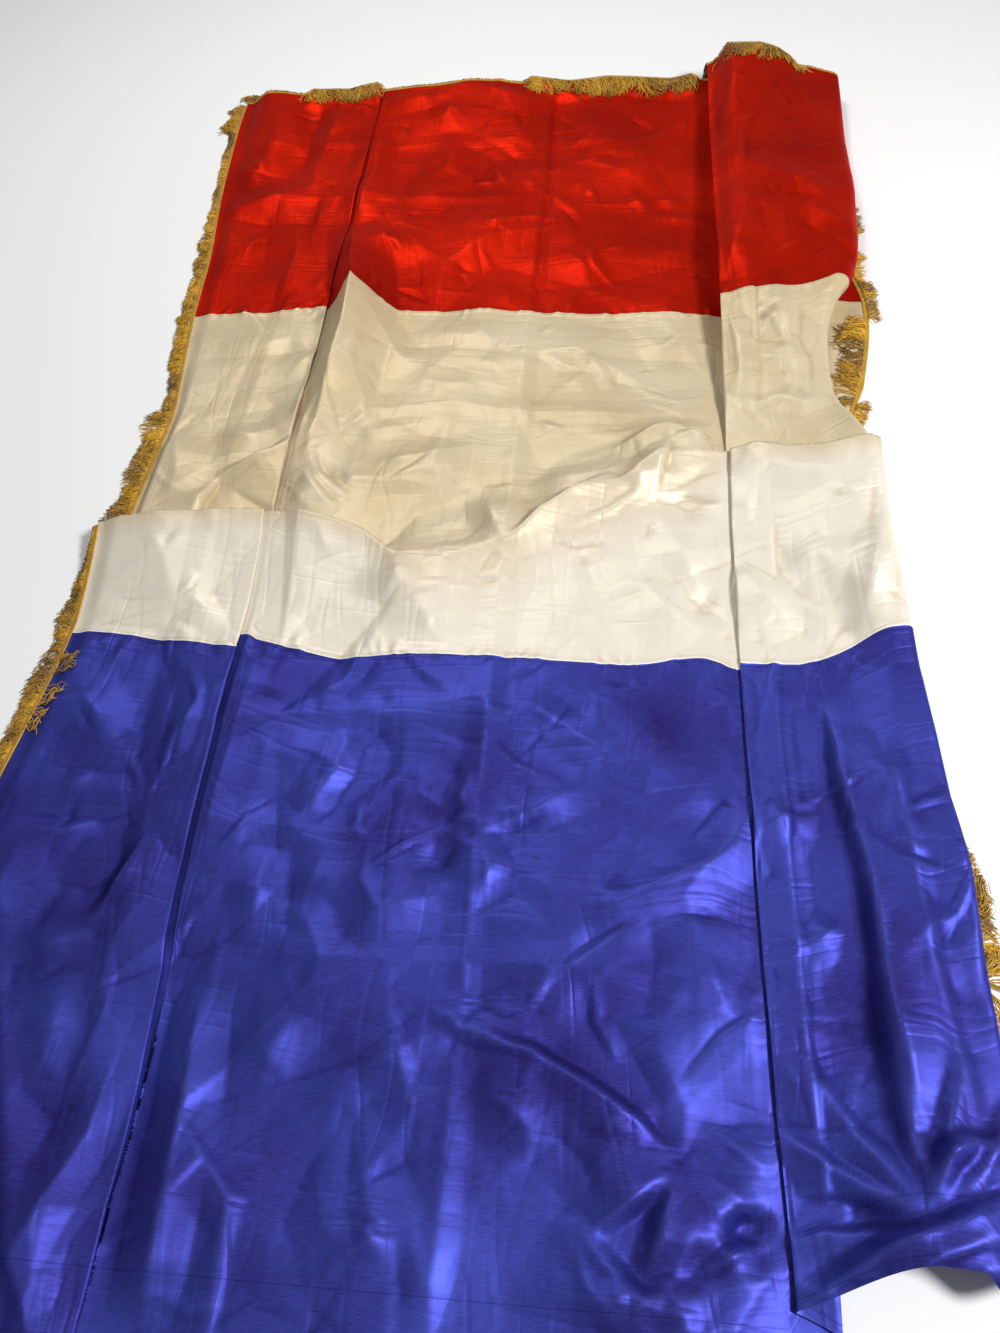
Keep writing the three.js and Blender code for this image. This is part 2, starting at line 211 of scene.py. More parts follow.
PLACED["L"] = [
    # pressed lines
    (-2.2, 26, 20, -740, -228, -600, -234, -420, -240, -250, -258),
    (-4.0, 34, 16, -750, -318, -640, -316, -520, -322, -430, -318),
    # white
    (7, 60, 130, -655, 262, -600, 180, -560, 90, -545, 20),
    (11, 9, 80, -562, 392, -510, 424, -462, 456, -412, 504),
    (9, 60, 8, -590, 268, -574, 330, -556, 396),
    (7, 40, 10, -412, 504, -430, 560, -446, 640),
    (6, 30, 30, -470, 520, -520, 500, -590, 520),
    (4, 50, 60, -690, 560, -660, 480, -640, 400, -632, 300),
    (4, 40, 50, -500, 560, -455, 520, -412, 512),
    (3, 34, 30, -486, 682, -446, 740, -420, 778),
    (3, 50, 50, -566, 880, -572, 800, -590, 700),
    (3, 30, 40, -720, 620, -640, 560, -560, 545),
    (-3, 30, 30, -500, 180, -470, 100, -455, 40),
    (3, 24, 30, -560, 120, -500, 80, -440, 70),
    # blue
    (-9, 70, 50, -604, -330, -566, -400, -552, -480),
    (10, 60, 12, -494, -330, -510, -410, -532, -496),
    (5, 40, 40, -700, -60, -640, -130, -600, -200),
    (-5, 50, 40, -560, -60, -580, -160, -570, -220),
    (5, 34, 34, -470, -60, -480, -160, -476, -260),
    (6, 34, 40, -680, -350, -690, -440, -650, -520),
    (6, 24, 30, -640, -500, -580, -520, -520, -500),
    (-5, 26, 30, -600, -500, -620, -560, -600, -620),
    (6, 30, 34, -560, -560, -530, -640, -540, -720),
    (5, 30, 34, -470, -560, -480, -660, -500, -760),
    (-5, 26, 30, -560, -700, -510, -740, -460, -720),
    (6, 26, 34, -440, -640, -450, -760, -480, -860, -500, -940),
    # red
    (-9, 40, 50, -604, 1790, -596, 1700, -600, 1560, -590, 1400),
    (7, 40, 50, -548, 1780, -546, 1640, -556, 1480, -540, 1300),
    (6, 50, 60, -700, 1740, -690, 1560, -700, 1380),
    (-5, 50, 50, -650, 1300, -630, 1150, -600, 1000),
    (5, 44, 50, -560, 1240, -540, 1100, -548, 940),
    (-5, 40, 40, -490, 1340, -500, 1200, -480, 1060),
    (5, 34, 34, -760, 1500, -720, 1440, -700, 1380),
]
PLACED["M"] = [
    # centre crease, full length, and the pressed lines across
    (2.6, 26, 20, 0, -975, 2, -500, -2, 0, 1, 500, 0, 1000, 2, 1500, 0, 1800),
    (1.8, 26, 20, -320, 585, -200, 600, -120, 612, 0, 592, 200, 580, 400, 582),
    (1.6, 22, 22, -400, 386, -280, 392, -100, 380, 0, 388, 120, 380),
    (1.8, 20, 26, -420, -322, -300, -318, -150, -322, 20, -312),
    (1.6, 24, 24, -300, -508, -100, -512, 100, -505, 300, -512, 400, -508),
    (1.6, 24, 24, -240, -690, -100, -688, 40, -684),
    (1.4, 22, 22, 30, 1300, 200, 1296, 395, 1302),
    # white, right side of the ridge and the fan below it
    (7, 34, 40, -352, 880, -300, 812, -258, 748, -214, 716),
    (5, 30, 44, -340, 820, -350, 700, -310, 610, -290, 520),
    (-5, 34, 40, -395, 700, -370, 590, -330, 500, -296, 440),
    (8, 9, 44, -396, 480, -372, 410, -330, 366, -292, 342),
    (7, 8, 34, -400, 420, -372, 370, -336, 330, -310, 316),
    (-4, 20, 22, -388, 450, -340, 400, -300, 384),
    (5, 22, 24, -410, 368, -384, 330, -350, 302),
    (4, 30, 36, -290, 428, -200, 446, -130, 470, -40, 512),
    (4, 34, 30, -262, 398, -160, 414, -60, 452),
    (-4, 36, 36, -250, 560, -180, 520, -90, 500),
    (3, 36, 44, -250, 690, -150, 664, -40, 672),
    (3, 40, 40, -230, 880, -180, 820, -60, 800),
    # white, middle: the deep V and the slopes that meet there
    (10, 60, 30, -40, 390, -36, 330, -20, 276, 2, 232),
    (9, 7, 60, 6, 236, 60, 306, 120, 352, 190, 394),
    (6, 30, 44, 20, 382, 90, 396, 170, 402, 230, 440),
    (-6, 30, 30, -150, 214, -110, 240, -60, 268, -28, 300),
    (8, 30, 60, -190, 196, -176, 150, -196, 96),
    (6, 46, 60, -190, 150, -130, 184, -60, 214, 0, 232),
    (4, 40, 60, -200, 100, -130, 124, -70, 134, -20, 120),
    (3, 30, 40, -190, 60, -120, 84, -40, 76),
    (3, 40, 46, 40, 200, 120, 160, 190, 150, 250, 160),
    (4, 40, 40, 40, 120, 120, 90, 200, 96),
    (3, 30, 40, 60, 640, 130, 700, 160, 780),
    (4, 34, 44, 200, 470, 246, 508, 284, 534, 330, 512, 398, 506),
    (-5, 34, 34, 210, 430, 262, 470, 320, 500),
    (4, 30, 36, 240, 640, 310, 612, 392, 640),
    (3, 30, 34, 220, 840, 270, 790, 300, 740),
    # white, trapezoid facet beside the right pleat
    (8, 40, 7, 258, 338, 272, 410, 290, 486),
    (7, 8, 40, 288, 484, 340, 490, 390, 486),
    (-8, 12, 40, 262, 340, 320, 350, 388, 344),
    (7, 8, 40, 180, 470, 230, 496, 284, 520, 330, 500, 390, 508),
    (5, 40, 40, 225, 430, 238, 372, 262, 340),
    (7, 34, 70, 228, 196, 252, 150, 290, 104, 340, 60),
    (-6, 60, 34, 300, 150, 350, 120, 386, 90),
    (5, 30, 50, 270, 330, 300, 250, 330, 180, 352, 120),
    # blue
    (6, 40, 70, -392, -20, -400, -160, -402, -300, -400, -400),
    (-10, 30, 50, -160, -120, -176, -210, -222, -288, -256, -330),
    (8, 60, 30, -216, -140, -226, -220, -262, -296, -306, -330),
    (7, 50, 34, -306, -350, -304, -430, -312, -500),
    (-7, 36, 40, -268, -340, -262, -420, -250, -500),
    (6, 40, 60, -212, -330, -230, -400, -246, -470),
    (-6, 36, 60, -410, -430, -394, -560, -384, -720, -376, -960),
    (9, 34, 40, -356, -560, -340, -680, -332, -820, -330, -975),
    (5, 34, 40, -160, -300, -156, -400, -130, -440, -60, -420, -20, -380),
    (5, 30, 34, -4, -316, -40, -290, -90, -250, -100, -200),
    (6, 24, 28, 0, -316, 60, -290, 110, -256, 170, -222),
    (-5, 22, 24, 4, -320, 60, -306, 120, -272),
    (5, 22, 26, -6, -310, -26, -260, -20, -210),
    (-6, 24, 28, -20, -330, -50, -370, -36, -410),
    (5, 22, 24, 4, -322, 24, -370, 12, -430),
    (4, 26, 30, 20, -60, 100, -110, 170, -160, 230, -200),
    (-6, 40, 60, 20, -240, 60, -180, 130, -90, 200, -30),
    (6, 24, 40, 168, -442, 240, -396, 320, -356, 398, -300),
    (-5, 30, 40, 290, -330, 340, -270, 390, -210),
    (5, 40, 50, 250, -60, 262, -160, 246, -240, 220, -280),
    (4, 40, 40, 330, -30, 372, -60, 384, -130),
    (-5, 40, 44, 250, -420, 262, -500, 240, -580),
    (4, 46, 50, 120, -470, 110, -540, 60, -600),
    (11, 10, 80, 16, -606, 100, -620, 170, -654, 232, -692, 286, -736),
    (5, 30, 12, -60, -560, 10, -596, 70, -606, 130, -622),
    (9, 12, 60, 292, -738, 230, -784, 176, -826),
    (10, 50, 14, 292, -738, 268, -800, 240, -880),
    (8, 60, 30, 292, -736, 350, -770, 400, -812),
    (8, 12, 50, 150, -800, 200, -850, 240, -884, 300, -900),
    (-11, 14, 40, 330, -820, 360, -800, 400, -788),
    (9, 10, 40, 300, -860, 350, -830, 402, -812),
    (6, 36, 36, 30, -660, 90, -700, 120, -740),
    (-5, 30, 40, 120, -700, 170, -740, 190, -800),
    (5, 36, 40, 286, -740, 330, -790, 352, -850),
    (6, 26, 30, 90, -890, 200, -886, 300, -878, 400, -852),
    (-5, 24, 26, 140, -860, 240, -866, 330, -850, 404, -820),
    (5, 24, 26, 200, -925, 300, -912, 380, -898),
    (4, 30, 36, -10, -590, -60, -620, -110, -652, -190, -696),
    (4, 34, 40, -200, -560, -240, -640, -250, -720),
    (-4, 34, 40, -130, -700, -170, -790, -190, -880),
    (5, 34, 34, -50, -780, -80, -850, -150, -900),
    (4, 30, 34, -280, -420, -220, -470, -180, -540),
    # red, left of the centre crease
    (6, 30, 40, -416, 1600, -410, 1440, -420, 1300, -424, 1200),
    (6, 26, 34, -398, 1220, -350, 1156, -300, 1110, -250, 1086),
    (-5, 40, 44, -340, 1480, -320, 1360, -280, 1230),
    (5, 40, 50, -240, 1600, -220, 1500, -240, 1400),
    (6, 34, 44, -460, 1742, -330, 1752, -210, 1786, -130, 1750, -40, 1716, 30, 1722),
    (-6, 26, 34, -440, 1770, -320, 1782, -220, 1800),
    (4, 30, 40, -230, 1740, -250, 1660, -216, 1600),
    (4, 34, 36, -60, 1000, -44, 940, -30, 905),
    (4, 50, 60, -150, 1300, -160, 1180, -130, 1060),
    # red, right of the centre crease
    (-4, 14, 40, 16, 1780, 18, 1400, 14, 1100, 18, 920),
    (4, 40, 44, 110, 1700, 120, 1600, 100, 1500),
    (4, 40, 44, 210, 1560, 250, 1460, 240, 1340),
    (4, 34, 34, 60, 1120, 110, 1060, 120, 1000),
    (3, 34, 34, 250, 1120, 320, 1100, 380, 1110),
]
PLACED["R"] = [
    # white, lower part
    (7, 34, 60, 400, 206, 432, 150, 470, 100, 492, 60),
    (-5, 46, 34, 420, 300, 460, 220, 500, 160),
    (6, 30, 30, 400, 396, 440, 444, 480, 470),
    (4, 50, 60, 540, 440, 560, 340, 552, 240, 560, 120),
    (6, 26, 30, 650, 330, 626, 210, 604, 120, 584, 50),
    (5, 24, 24, 655, 240, 636, 180, 622, 130),
    (-5, 24, 24, 640, 380, 628, 300, 612, 220),
    (4, 30, 30, 430, 420, 500, 400, 580, 390, 640, 400),
    # white, raised part
    (6, 26, 34, 404, 860, 424, 760, 430, 660, 412, 560, 402, 500),
    (-6, 26, 30, 462, 930, 470, 830, 466, 740),
    (6, 30, 30, 500, 940, 504, 850, 520, 760, 516, 680),
    (4, 24, 24, 420, 800, 480, 796, 560, 812),
    (4, 24, 24, 440, 720, 500, 700, 560, 716),
    (-5, 30, 26, 560, 900, 556, 800, 566, 700, 560, 600),
    (5, 24, 26, 470, 620, 540, 590, 590, 612),
    # blue
    (8, 40, 14, 528, -60, 532, -200, 552, -340, 558, -520, 576, -690),
    (5, 14, 40, 600, -120, 612, -300, 618, -480, 640, -700),
    (-5, 40, 50, 500, -40, 504, -200, 520, -400, 522, -600),
    (3, 8, 26, 450, 40, 450, -300, 452, -600, 458, -830),
    (5, 30, 30, 560, -120, 590, -200, 580, -300),
    (5, 20, 24, 404, -300, 440, -270, 500, -262),
    (6, 24, 30, 452, -470, 490, -440, 520, -420),
    (9, 50, 12, 542, -475, 550, -590, 558, -684, 568, -775),
    (10, 12, 14, 568, -775, 572, -744, 589, -716, 624, -700, 680, -698),
    (9, 14, 40, 440, -600, 486, -672, 530, -736, 562, -786),
    (8, 10, 34, 406, -690, 450, -722, 510, -760, 560, -788),
    (9, 34, 12, 640, -590, 612, -660, 588, -730, 572, -782),
    (8, 30, 12, 690, -640, 650, -706, 610, -756, 576, -786),
    (-10, 12, 30, 402, -790, 440, -778, 500, -776, 556, -784),
    (10, 10, 34, 402, -822, 450, -802, 510, -800, 566, -796),
    (13, 12, 40, 404, -890, 460, -850, 513, -815, 571, -792, 700, -744),
    (9, 20, 30, 440, -920, 500, -862, 560, -824, 640, -796, 700, -786),
    (8, 14, 26, 560, -860, 610, -834, 680, -826),
    # red
    (10, 60, 90, 404, 930, 442, 1076, 480, 1284),
    (9, 50, 60, 482, 1286, 530, 1290, 574, 1264, 620, 1210, 684, 1124),
    (-9, 40, 50, 470, 1320, 500, 1440, 546, 1560, 566, 1720),
    (6, 30, 40, 420, 1500, 450, 1640, 486, 1780),
    (6, 30, 34, 584, 1180, 640, 1120, 690, 1100),
    (5, 40, 44, 530, 1220, 534, 1080, 540, 960),
    (-5, 30, 40, 486, 1240, 490, 1100, 486, 960),
    (5, 40, 50, 600, 1760, 640, 1600, 660, 1460),
]


# -------- shape functions
def along(points, place):
    """Smooth curve through [place, value] pairs that never swings past them."""
    knots, values = np.array(points, float).T
    steep = np.diff(values) / np.diff(knots)
    before, after = steep[:-1], steep[1:]
    agree = before * after > 0
    inner = np.where(agree, 2 * before * after / np.where(agree, before + after, 1), 0)
    slopes = np.concatenate([[0], inner, [0]])
    place = np.clip(place, knots[0], knots[-1])
    i = np.clip(np.searchsorted(knots, place, side="right") - 1, 0, len(knots) - 2)
    span = knots[i + 1] - knots[i]
    f = (place - knots[i]) / span
    rise = f * f * (3 - 2 * f)
    ease = values[i] * (1 - rise) + values[i + 1] * rise
    return ease + f * (1 - f) * span * ((1 - f) * slopes[i] - f * slopes[i + 1])


def smooth(value, low, high):
    """Soft step from zero at low to one at high."""
    f = np.clip((value - low) / (high - low), 0, 1)
    return f * f * (3 - 2 * f)


def mix(a, b, share):
    return a + (b - a) * share


def bunch(x, y):
    """Low mound where the near right corner is gathered."""
    away = np.hypot(x - BUNCH_X, y - BUNCH_Y)
    return BUNCH_HEIGHT * (1 - smooth(away, 0, BUNCH_REACH))


def sharp_crest(distance, before, after):
    """Ridge with a pressed crest that runs out softly on both sides."""
    return np.clip(1 - np.abs(distance) / np.where(distance < 0, before, after), 0, 1) ** 1.35


def soft_tuck(x):
    """One where the tuck is only a soft roll, zero where it is a sharp lapped fold."""
    return smooth(x, *TUCK_SOFTENS) * (1 - smooth(x, *TUCK_SHARPENS))


def relief(x, y):
    """Main folds that every layer shares, above the surface that the flag lies on."""
    ridge = along(RIDGE_HEIGHT, y) * sharp_crest(x - along(RIDGE_LINE, y), RIDGE_LEFT, RIDGE_RIGHT)
    beyond = y - along(TUCK_LINE, x)
    lip = mix(TUCK_LIP, TUCK_SOFT_LIP, soft_tuck(x))
    rising = np.clip(1 + beyond / TUCK_NEAR, 0, 1) ** 1.6
    falling = np.clip(1 - beyond / lip, 0, 1) ** 1.3
    tuck = along(TUCK_HEIGHT, x) * np.where(beyond < 0, rising, falling)
    far_edge = along(FAR_LIFT, x) * smooth(y, FAR_LIFT_FROM, 2 * BAND)
    corner = along(CORNER_HEIGHT, y) * sharp_crest(x - along(CORNER_LINE, y), CORNER_LEFT, CORNER_RIGHT)
    return np.maximum(0, ridge + tuck + far_edge + corner + bunch(x, y))


def far_lip(across, y):
    """The far hem curls up where its fringe is flipped back over it."""
    return FAR_LIP * within(FAR_FLIPS, across) * smooth(y, 2 * BAND - FAR_LIP_DEPTH, 2 * BAND)


def within(spans, places, soft=12):
    """One inside these spans and zero outside them, with soft ends."""
    out = np.zeros(len(places))
    for start, end in spans:
        begun = smooth(places, start - soft, start + soft)
        out = np.maximum(out, begun * (1 - smooth(places, end - soft, end + soft)))
    return out


def panel_height(x, y):
    """Height of the loose right-hand panel above its lower layers, at one y."""
    fold = along(RIGHT_FOLD, y)
    profile = [
        [fold, along(PANEL_AT_FOLD, y)],
        [fold + PANEL_INSIDE_FROM_FOLD, along(PANEL_INSIDE, y)],
        [PANEL_MIDDLE_X, along(PANEL_MIDDLE, y)],
        [PANEL_ROLL_X, along(PANEL_ROLL, y)],
    ]
    return along(profile, x)


def shift(across, y):
    """How far the cloth is pushed along the fly at straight place y."""
    near = along(NEAR_SEAM_SHIFT, across)
    far = along(FAR_SEAM_SHIFT, across)
    if y < 0:
        return mix(near, along(HOIST_SHIFT, across), smooth(-y, 0, BAND) * 0.5 - y / BAND * 0.5)
    if y < BAND:
        return mix(near, far, y / BAND)
    return mix(far, along(FLY_SHIFT, across), y / BAND - 1)


def waves(count, shortest, longest, seed):
    """Random plane waves: their wave vectors, phases and strengths."""
    rng = np.random.default_rng(seed)
    length = np.exp(rng.uniform(math.log(shortest), math.log(longest), count))
    angle = rng.uniform(0, math.tau, count)
    vectors = np.stack([np.cos(angle), np.sin(angle)], 1) * (math.tau / length)[:, None]
    strength = length / length.sum()
    return vectors, rng.uniform(0, math.tau, count), strength


def wave_field(x, y, plane_waves):
    """Sum of the plane waves, between -1 and 1."""
    total = np.zeros_like(x)
    for vector, phase, strength in zip(*plane_waves):
        total += strength * np.sin(vector[0] * x + vector[1] * y + phase)
    return total


SWELL = waves(count=14, shortest=180, longest=620, seed=3)
FADE = waves(count=10, shortest=260, longest=700, seed=22)
SWELL_HEIGHT = 2.0
SMALL_HEIGHT = 8
LARGE_HEIGHT = 27
DOWN = Vector((0, 0, -1))


def crumple_tree(seed, spacing, stretch):
    """Facets between random points of random height, joined by straight creases."""
    rng = np.random.default_rng(seed)
    spots = []
    for row, y in enumerate(np.arange(-1400, 2200, spacing * stretch)):
        for x in np.arange(-1100, 1100, spacing):
            jitter = rng.uniform(-0.46, 0.46, 2) * [spacing, spacing * stretch]
            spots.append(Vector((x + (row % 2) * spacing / 2 + jitter[0], y + jitter[1])))
    corners, _, triangles, *_ = delaunay_2d_cdt(spots, [], [], 0, 0.001)
    heights = rng.uniform(0, 1, len(corners)) ** 1.3
    vertices = [(corner.x, corner.y, float(height)) for corner, height in zip(corners, heights)]
    return BVHTree.FromPolygons(vertices, triangles)


def crumple(tree, x, y):
    """Height of the facets at these places, from 0 to 1."""
    out = [tree.ray_cast(Vector((a, b, 5)), DOWN)[0].z for a, b in zip(x.ravel(), y.ravel())]
    return np.array(out).reshape(x.shape)


LARGE_FACETS = crumple_tree(seed=51, spacing=96, stretch=2.2)
SMALL_FACETS = crumple_tree(seed=52, spacing=40, stretch=1.5)

# Where the cloth is more crumpled, as (x, y, reach, extra share)
CRUMPLED = [
    (0, -315, 170, 0.9), (180, -120, 120, 0.8), (-540, -490, 150, 0.9), (220, -690, 150, 1.0),
    (300, -880, 160, 1.2), (575, -800, 170, 1.2), (0, 235, 150, 0.6), (-330, 350, 140, 0.9),
    (300, 500, 130, 0.8), (440, 420, 120, 0.8), (-560, 420, 140, 0.5), (540, 700, 140, 0.7),
    (560, 1250, 150, 0.7), (-330, 1130, 120, 0.6), (-450, 980, 120, 0.5), (-560, 1650, 160, 0.6),
    (500, 1700, 150, 0.6), (-200, 1700, 120, 0.5), (420, -270, 110, 0.7), (-100, -380, 120, 0.7),
    (560, 180, 130, 0.6), (-160, 420, 120, 0.5), (-440, -880, 150, 0.8),
    (-150, -600, 190, 0.9), (-60, -820, 190, 0.9), (-290, -800, 150, 0.7), (-270, -170, 150, 0.6),
    (290, -540, 130, 0.6), (120, -420, 130, 0.5), (-620, -180, 120, 0.5), (600, -420, 140, 0.4),
    (200, 1500, 150, 0.5), (-100, 1200, 140, 0.4), (440, 1050, 120, 0.5), (-650, 1300, 140, 0.4),
]


def scattered_creases(seed, count):
    """Small creases all over the flag, each on the panel that it lies on."""
    rng = np.random.default_rng(seed)
    out = []
    for _ in range(count):
        x, y = rng.uniform(-740, 700), rng.uniform(-960, 1790)
        angle = rng.normal(rng.choice([0.0, 0.9, 1.57, 2.3]), 0.28)
        length = rng.uniform(40, 190)
        bow = rng.uniform(-0.1, 0.1) * length
        ahead = np.array([math.cos(angle), math.sin(angle)]) * length / 2
        aside = np.array([-math.sin(angle), math.cos(angle)]) * bow
        middle = np.array([x, y])
        points = [tuple(middle - ahead), tuple(middle + aside), tuple(middle + ahead)]
        height = rng.uniform(0.8, 2.4) * rng.choice([1, 1, -1])
        out.append((panel_at(x), height, rng.uniform(5, 20), rng.uniform(5, 20), points))
    return out


def panel_at(x):
    """Panel that a small crease at this place belongs to."""
    return "L" if x < LEFT_PANEL_END else "R" if x > RIGHT_PANEL_START else "M"


def seam_puckers(seed, count, seam):
    """Short creases across a seam, where its stitching draws the silk in."""
    rng = np.random.default_rng(seed)
    out = []
    for _ in range(count):
        x = rng.uniform(-720, 640)
        lean = rng.normal(0, 9)
        reach = rng.uniform(14, 42)
        points = [(x - lean, seam - reach), (x, seam + rng.uniform(-8, 8)), (x + lean, seam + reach)]
        out.append((panel_at(x), rng.uniform(0.5, 1.3), rng.uniform(4, 9), rng.uniform(4, 9), points))
    return out


def texture_relief(x, y):
    """Low swell of the cloth and its flat facets, which are deeper at the CRUMPLED places."""
    swell = SWELL_HEIGHT * (1 + 1.6 * wave_field(x, y, SWELL))
    share = 0.3 + 0.3 * np.clip(1.5 * wave_field(x, y, FADE), -0.6, 1)
    for spot_x, spot_y, reach, extra in CRUMPLED:
        share = share + extra * (1 - smooth(np.hypot(x - spot_x, y - spot_y), 0, reach))
    small = crumple(SMALL_FACETS, x, y) * SMALL_HEIGHT
    large = crumple(LARGE_FACETS, x, y) * LARGE_HEIGHT
    return np.maximum(0, swell) + share * small + (0.55 + 0.45 * share) * large


def crease_relief(x, y, height, left, right, points):
    """One crease: a soft tent along a line, with its own width on each side."""
    out = np.zeros_like(x)
    points = np.array(points, float)
    left, right = left * CREASE_SPREAD, right * CREASE_SPREAD
    reach = max(left, right)
    near = (x > points[:, 0].min() - reach) & (x < points[:, 0].max() + reach)
    near &= (y > points[:, 1].min() - reach) & (y < points[:, 1].max() + reach)
    if not near.any():
        return out
    px, py = x[near], y[near]
    lengths = np.hypot(*np.diff(points, axis=0).T)
    total = lengths.sum()
    best = np.full(px.shape, 1e9)
    side = np.zeros(px.shape)
    place = np.zeros(px.shape)
    gone = 0.0
    for start, end, length in zip(points[:-1], points[1:], lengths):
        run = (end - start) / length
        dx, dy = px - start[0], py - start[1]
        f = np.clip(dx * run[0] + dy * run[1], 0, length)
        away = np.hypot(dx - run[0] * f, dy - run[1] * f)
        closer = away < best
        best = np.where(closer, away, best)
        side = np.where(closer, run[0] * dy - run[1] * dx, side)
        place = np.where(closer, gone + f, place)
        gone += length
    width = np.where(side > 0, left, right)
    share = np.clip(1 - best / width, 0, 1) ** 1.2
    fade = min(LONGEST_FADE, total * 0.45)
    ends = np.clip(np.minimum(place, total - place) / fade, 0, 1)
    out[near] = height * CREASE_GAIN * share * ends
    return out


# -------- the folded section
def section(y):
    """Stations across the flag at straight place y: x, layer, panel share, width of cloth."""
    left_edge = along(LEFT_EDGE, y)
    left_fold = along(LEFT_FOLD, y)
    left_tuck = (WIDTH / 2 + left_edge) / 2
    left_inner = left_fold - left_tuck
    right_fold = along(RIGHT_FOLD, y)
    right_inner = right_fold + RIGHT_TUCK
    roll = along(RIGHT_ROLL, y)
    roll_height = along(PANEL_ROLL, y) / 2 + LAYER / 2
    right_edge = along(RIGHT_EDGE, y)
    under = (2 * roll + 2 * RIGHT_TUCK + right_edge - WIDTH / 2) / 2
    ridge = along(RIDGE_LINE, y)
    parts = [np.array([[left_edge, 0, 0, 0]], float)]

    def run(x, layer, panel, across, steps):
        """Straight run to a station, in this many steps."""
        start = parts[-1][-1]
        f = np.arange(1, steps + 1)[:, None] / steps
        parts.append(start + (np.array([x, layer, panel, across], float) - start) * f)

    def turn(side, way, panel, steps=6):
        """Half circle at a pressed fold: it bulges by TURN towards `side`, up or down a layer."""
        x, layer, _, across = parts[-1][-1]
        f = np.arange(1, steps + 1) / steps
        angle = np.arange(1, steps + 1) * math.pi / steps
        parts.append(np.stack([
            x + side * TURN * np.sin(angle),
            layer + way * (1 - np.cos(angle)) / 2,
            np.full(steps, panel),
            mix(across, across + FOLD, f),
        ], 1))

    def roll_over(steps):
        """Half circle from the top of the loose panel's edge down to its under-tuck."""
        f = np.arange(1, steps + 1) / steps
        angle = np.arange(1, steps + 1) * math.pi / steps
        share = (1 + np.cos(angle)) / 2
        x = roll - roll_height * (1 - np.sin(angle))
        parts.append(np.stack([x, 1 + share, share, mix(ROLL_START, ROLL_END, f)], 1))

    # left panel, which rises on to the pleat, and the pleat
    run(left_inner - 45, 0, 0, 180, int(26 * FINE))
    run(left_inner - 12, 2, 0, 215, int(8 * FINE))
    run(left_fold - TURN, 2, 0, LEFT_PLEAT_OUTER, int(18 * FINE))
    turn(1, -1, 0)
    run(left_inner + TURN, 1, 0, LEFT_PLEAT_INNER, 6)
    turn(-1, -1, 0)
    # middle, with the ridge close to the left pleat, and the right pleat
    run(left_fold + 4, 0, 0, 469, 8)
    run(ridge, 0, 0, 531, int(12 * FINE))
    run(ridge + RIDGE_RIGHT, 0, 0, 623, int(18 * FINE))
    run(right_fold - 6, 0, 0, 1293, int(108 * FINE))
    run(right_inner - TURN, 0, 0, RIGHT_PLEAT_INNER, 6)
    turn(1, 1, 0)
    run(right_fold + TURN, 1, 1, RIGHT_PLEAT_OUTER, 6)
    turn(-1, 1, 1)
    # loose right panel, its roll and under-tuck
    run(right_fold + 60, 2, 1, 1460, int(12 * FINE))
    run(roll - roll_height, 2, 1, ROLL_START, int(28 * FINE))
    roll_over(int(12 * FINE))
    run(under + TURN, 1, 0, UNDER_FOLD, 8)
    turn(-1, -1, 0)
    run(right_edge, 0, 0, WIDTH, 14)
    return np.concatenate(parts).T


def placed_creases():
    """The creases placed one by one in the tables, each as (panel, height, left, right, points)."""
    for panel, table in PLACED.items():
        for height, left, right, *places in table:
            yield panel, height, left, right, list(zip(places[::2], places[1::2]))


CREASES = [
    *placed_creases(),
    *scattered_creases(seed=31, count=260),
    *seam_puckers(seed=32, count=70, seam=4),
    *seam_puckers(seed=33, count=60, seam=BAND),
]


def layered(totals, across, layer):
    """Creases of each panel where it lies, with no upper layer lower than the one it covers."""
    on_top = np.clip(layer / 2, 0, 1)
    left_over = np.maximum(totals["L"], totals["M"])
    right_over = np.maximum(totals["R"], totals["M"])
    left = np.where(across < LEFT_PLEAT_OUTER + FOLD / 2, totals["L"], totals["M"])
    left = mix(left, left_over, on_top)
    in_pleat = across < RIGHT_PLEAT_OUTER + FOLD
    right = np.where(in_pleat, mix(totals["M"], right_over, on_top), totals["R"])
    over_pleat = (across > RIGHT_PLEAT_OUTER + FOLD) & (across < COVERING_END)
    right = np.where(over_pleat, right_over, right)
    out = np.where(across > RIGHT_PLEAT_INNER, right, totals["M"])
    out = np.where(across < LEFT_PLEAT_INNER + FOLD, left, out)
    return np.where(across > UNDER_FOLD + FOLD, np.maximum(0, totals["R"]) * UNDER_SHARE, out)


def pressed(across):
    """Share of the crumpling that each layer keeps: less below a pleat than on top of it."""
    places, shares = zip(*PRESSED)
    return np.interp(across, places, shares)


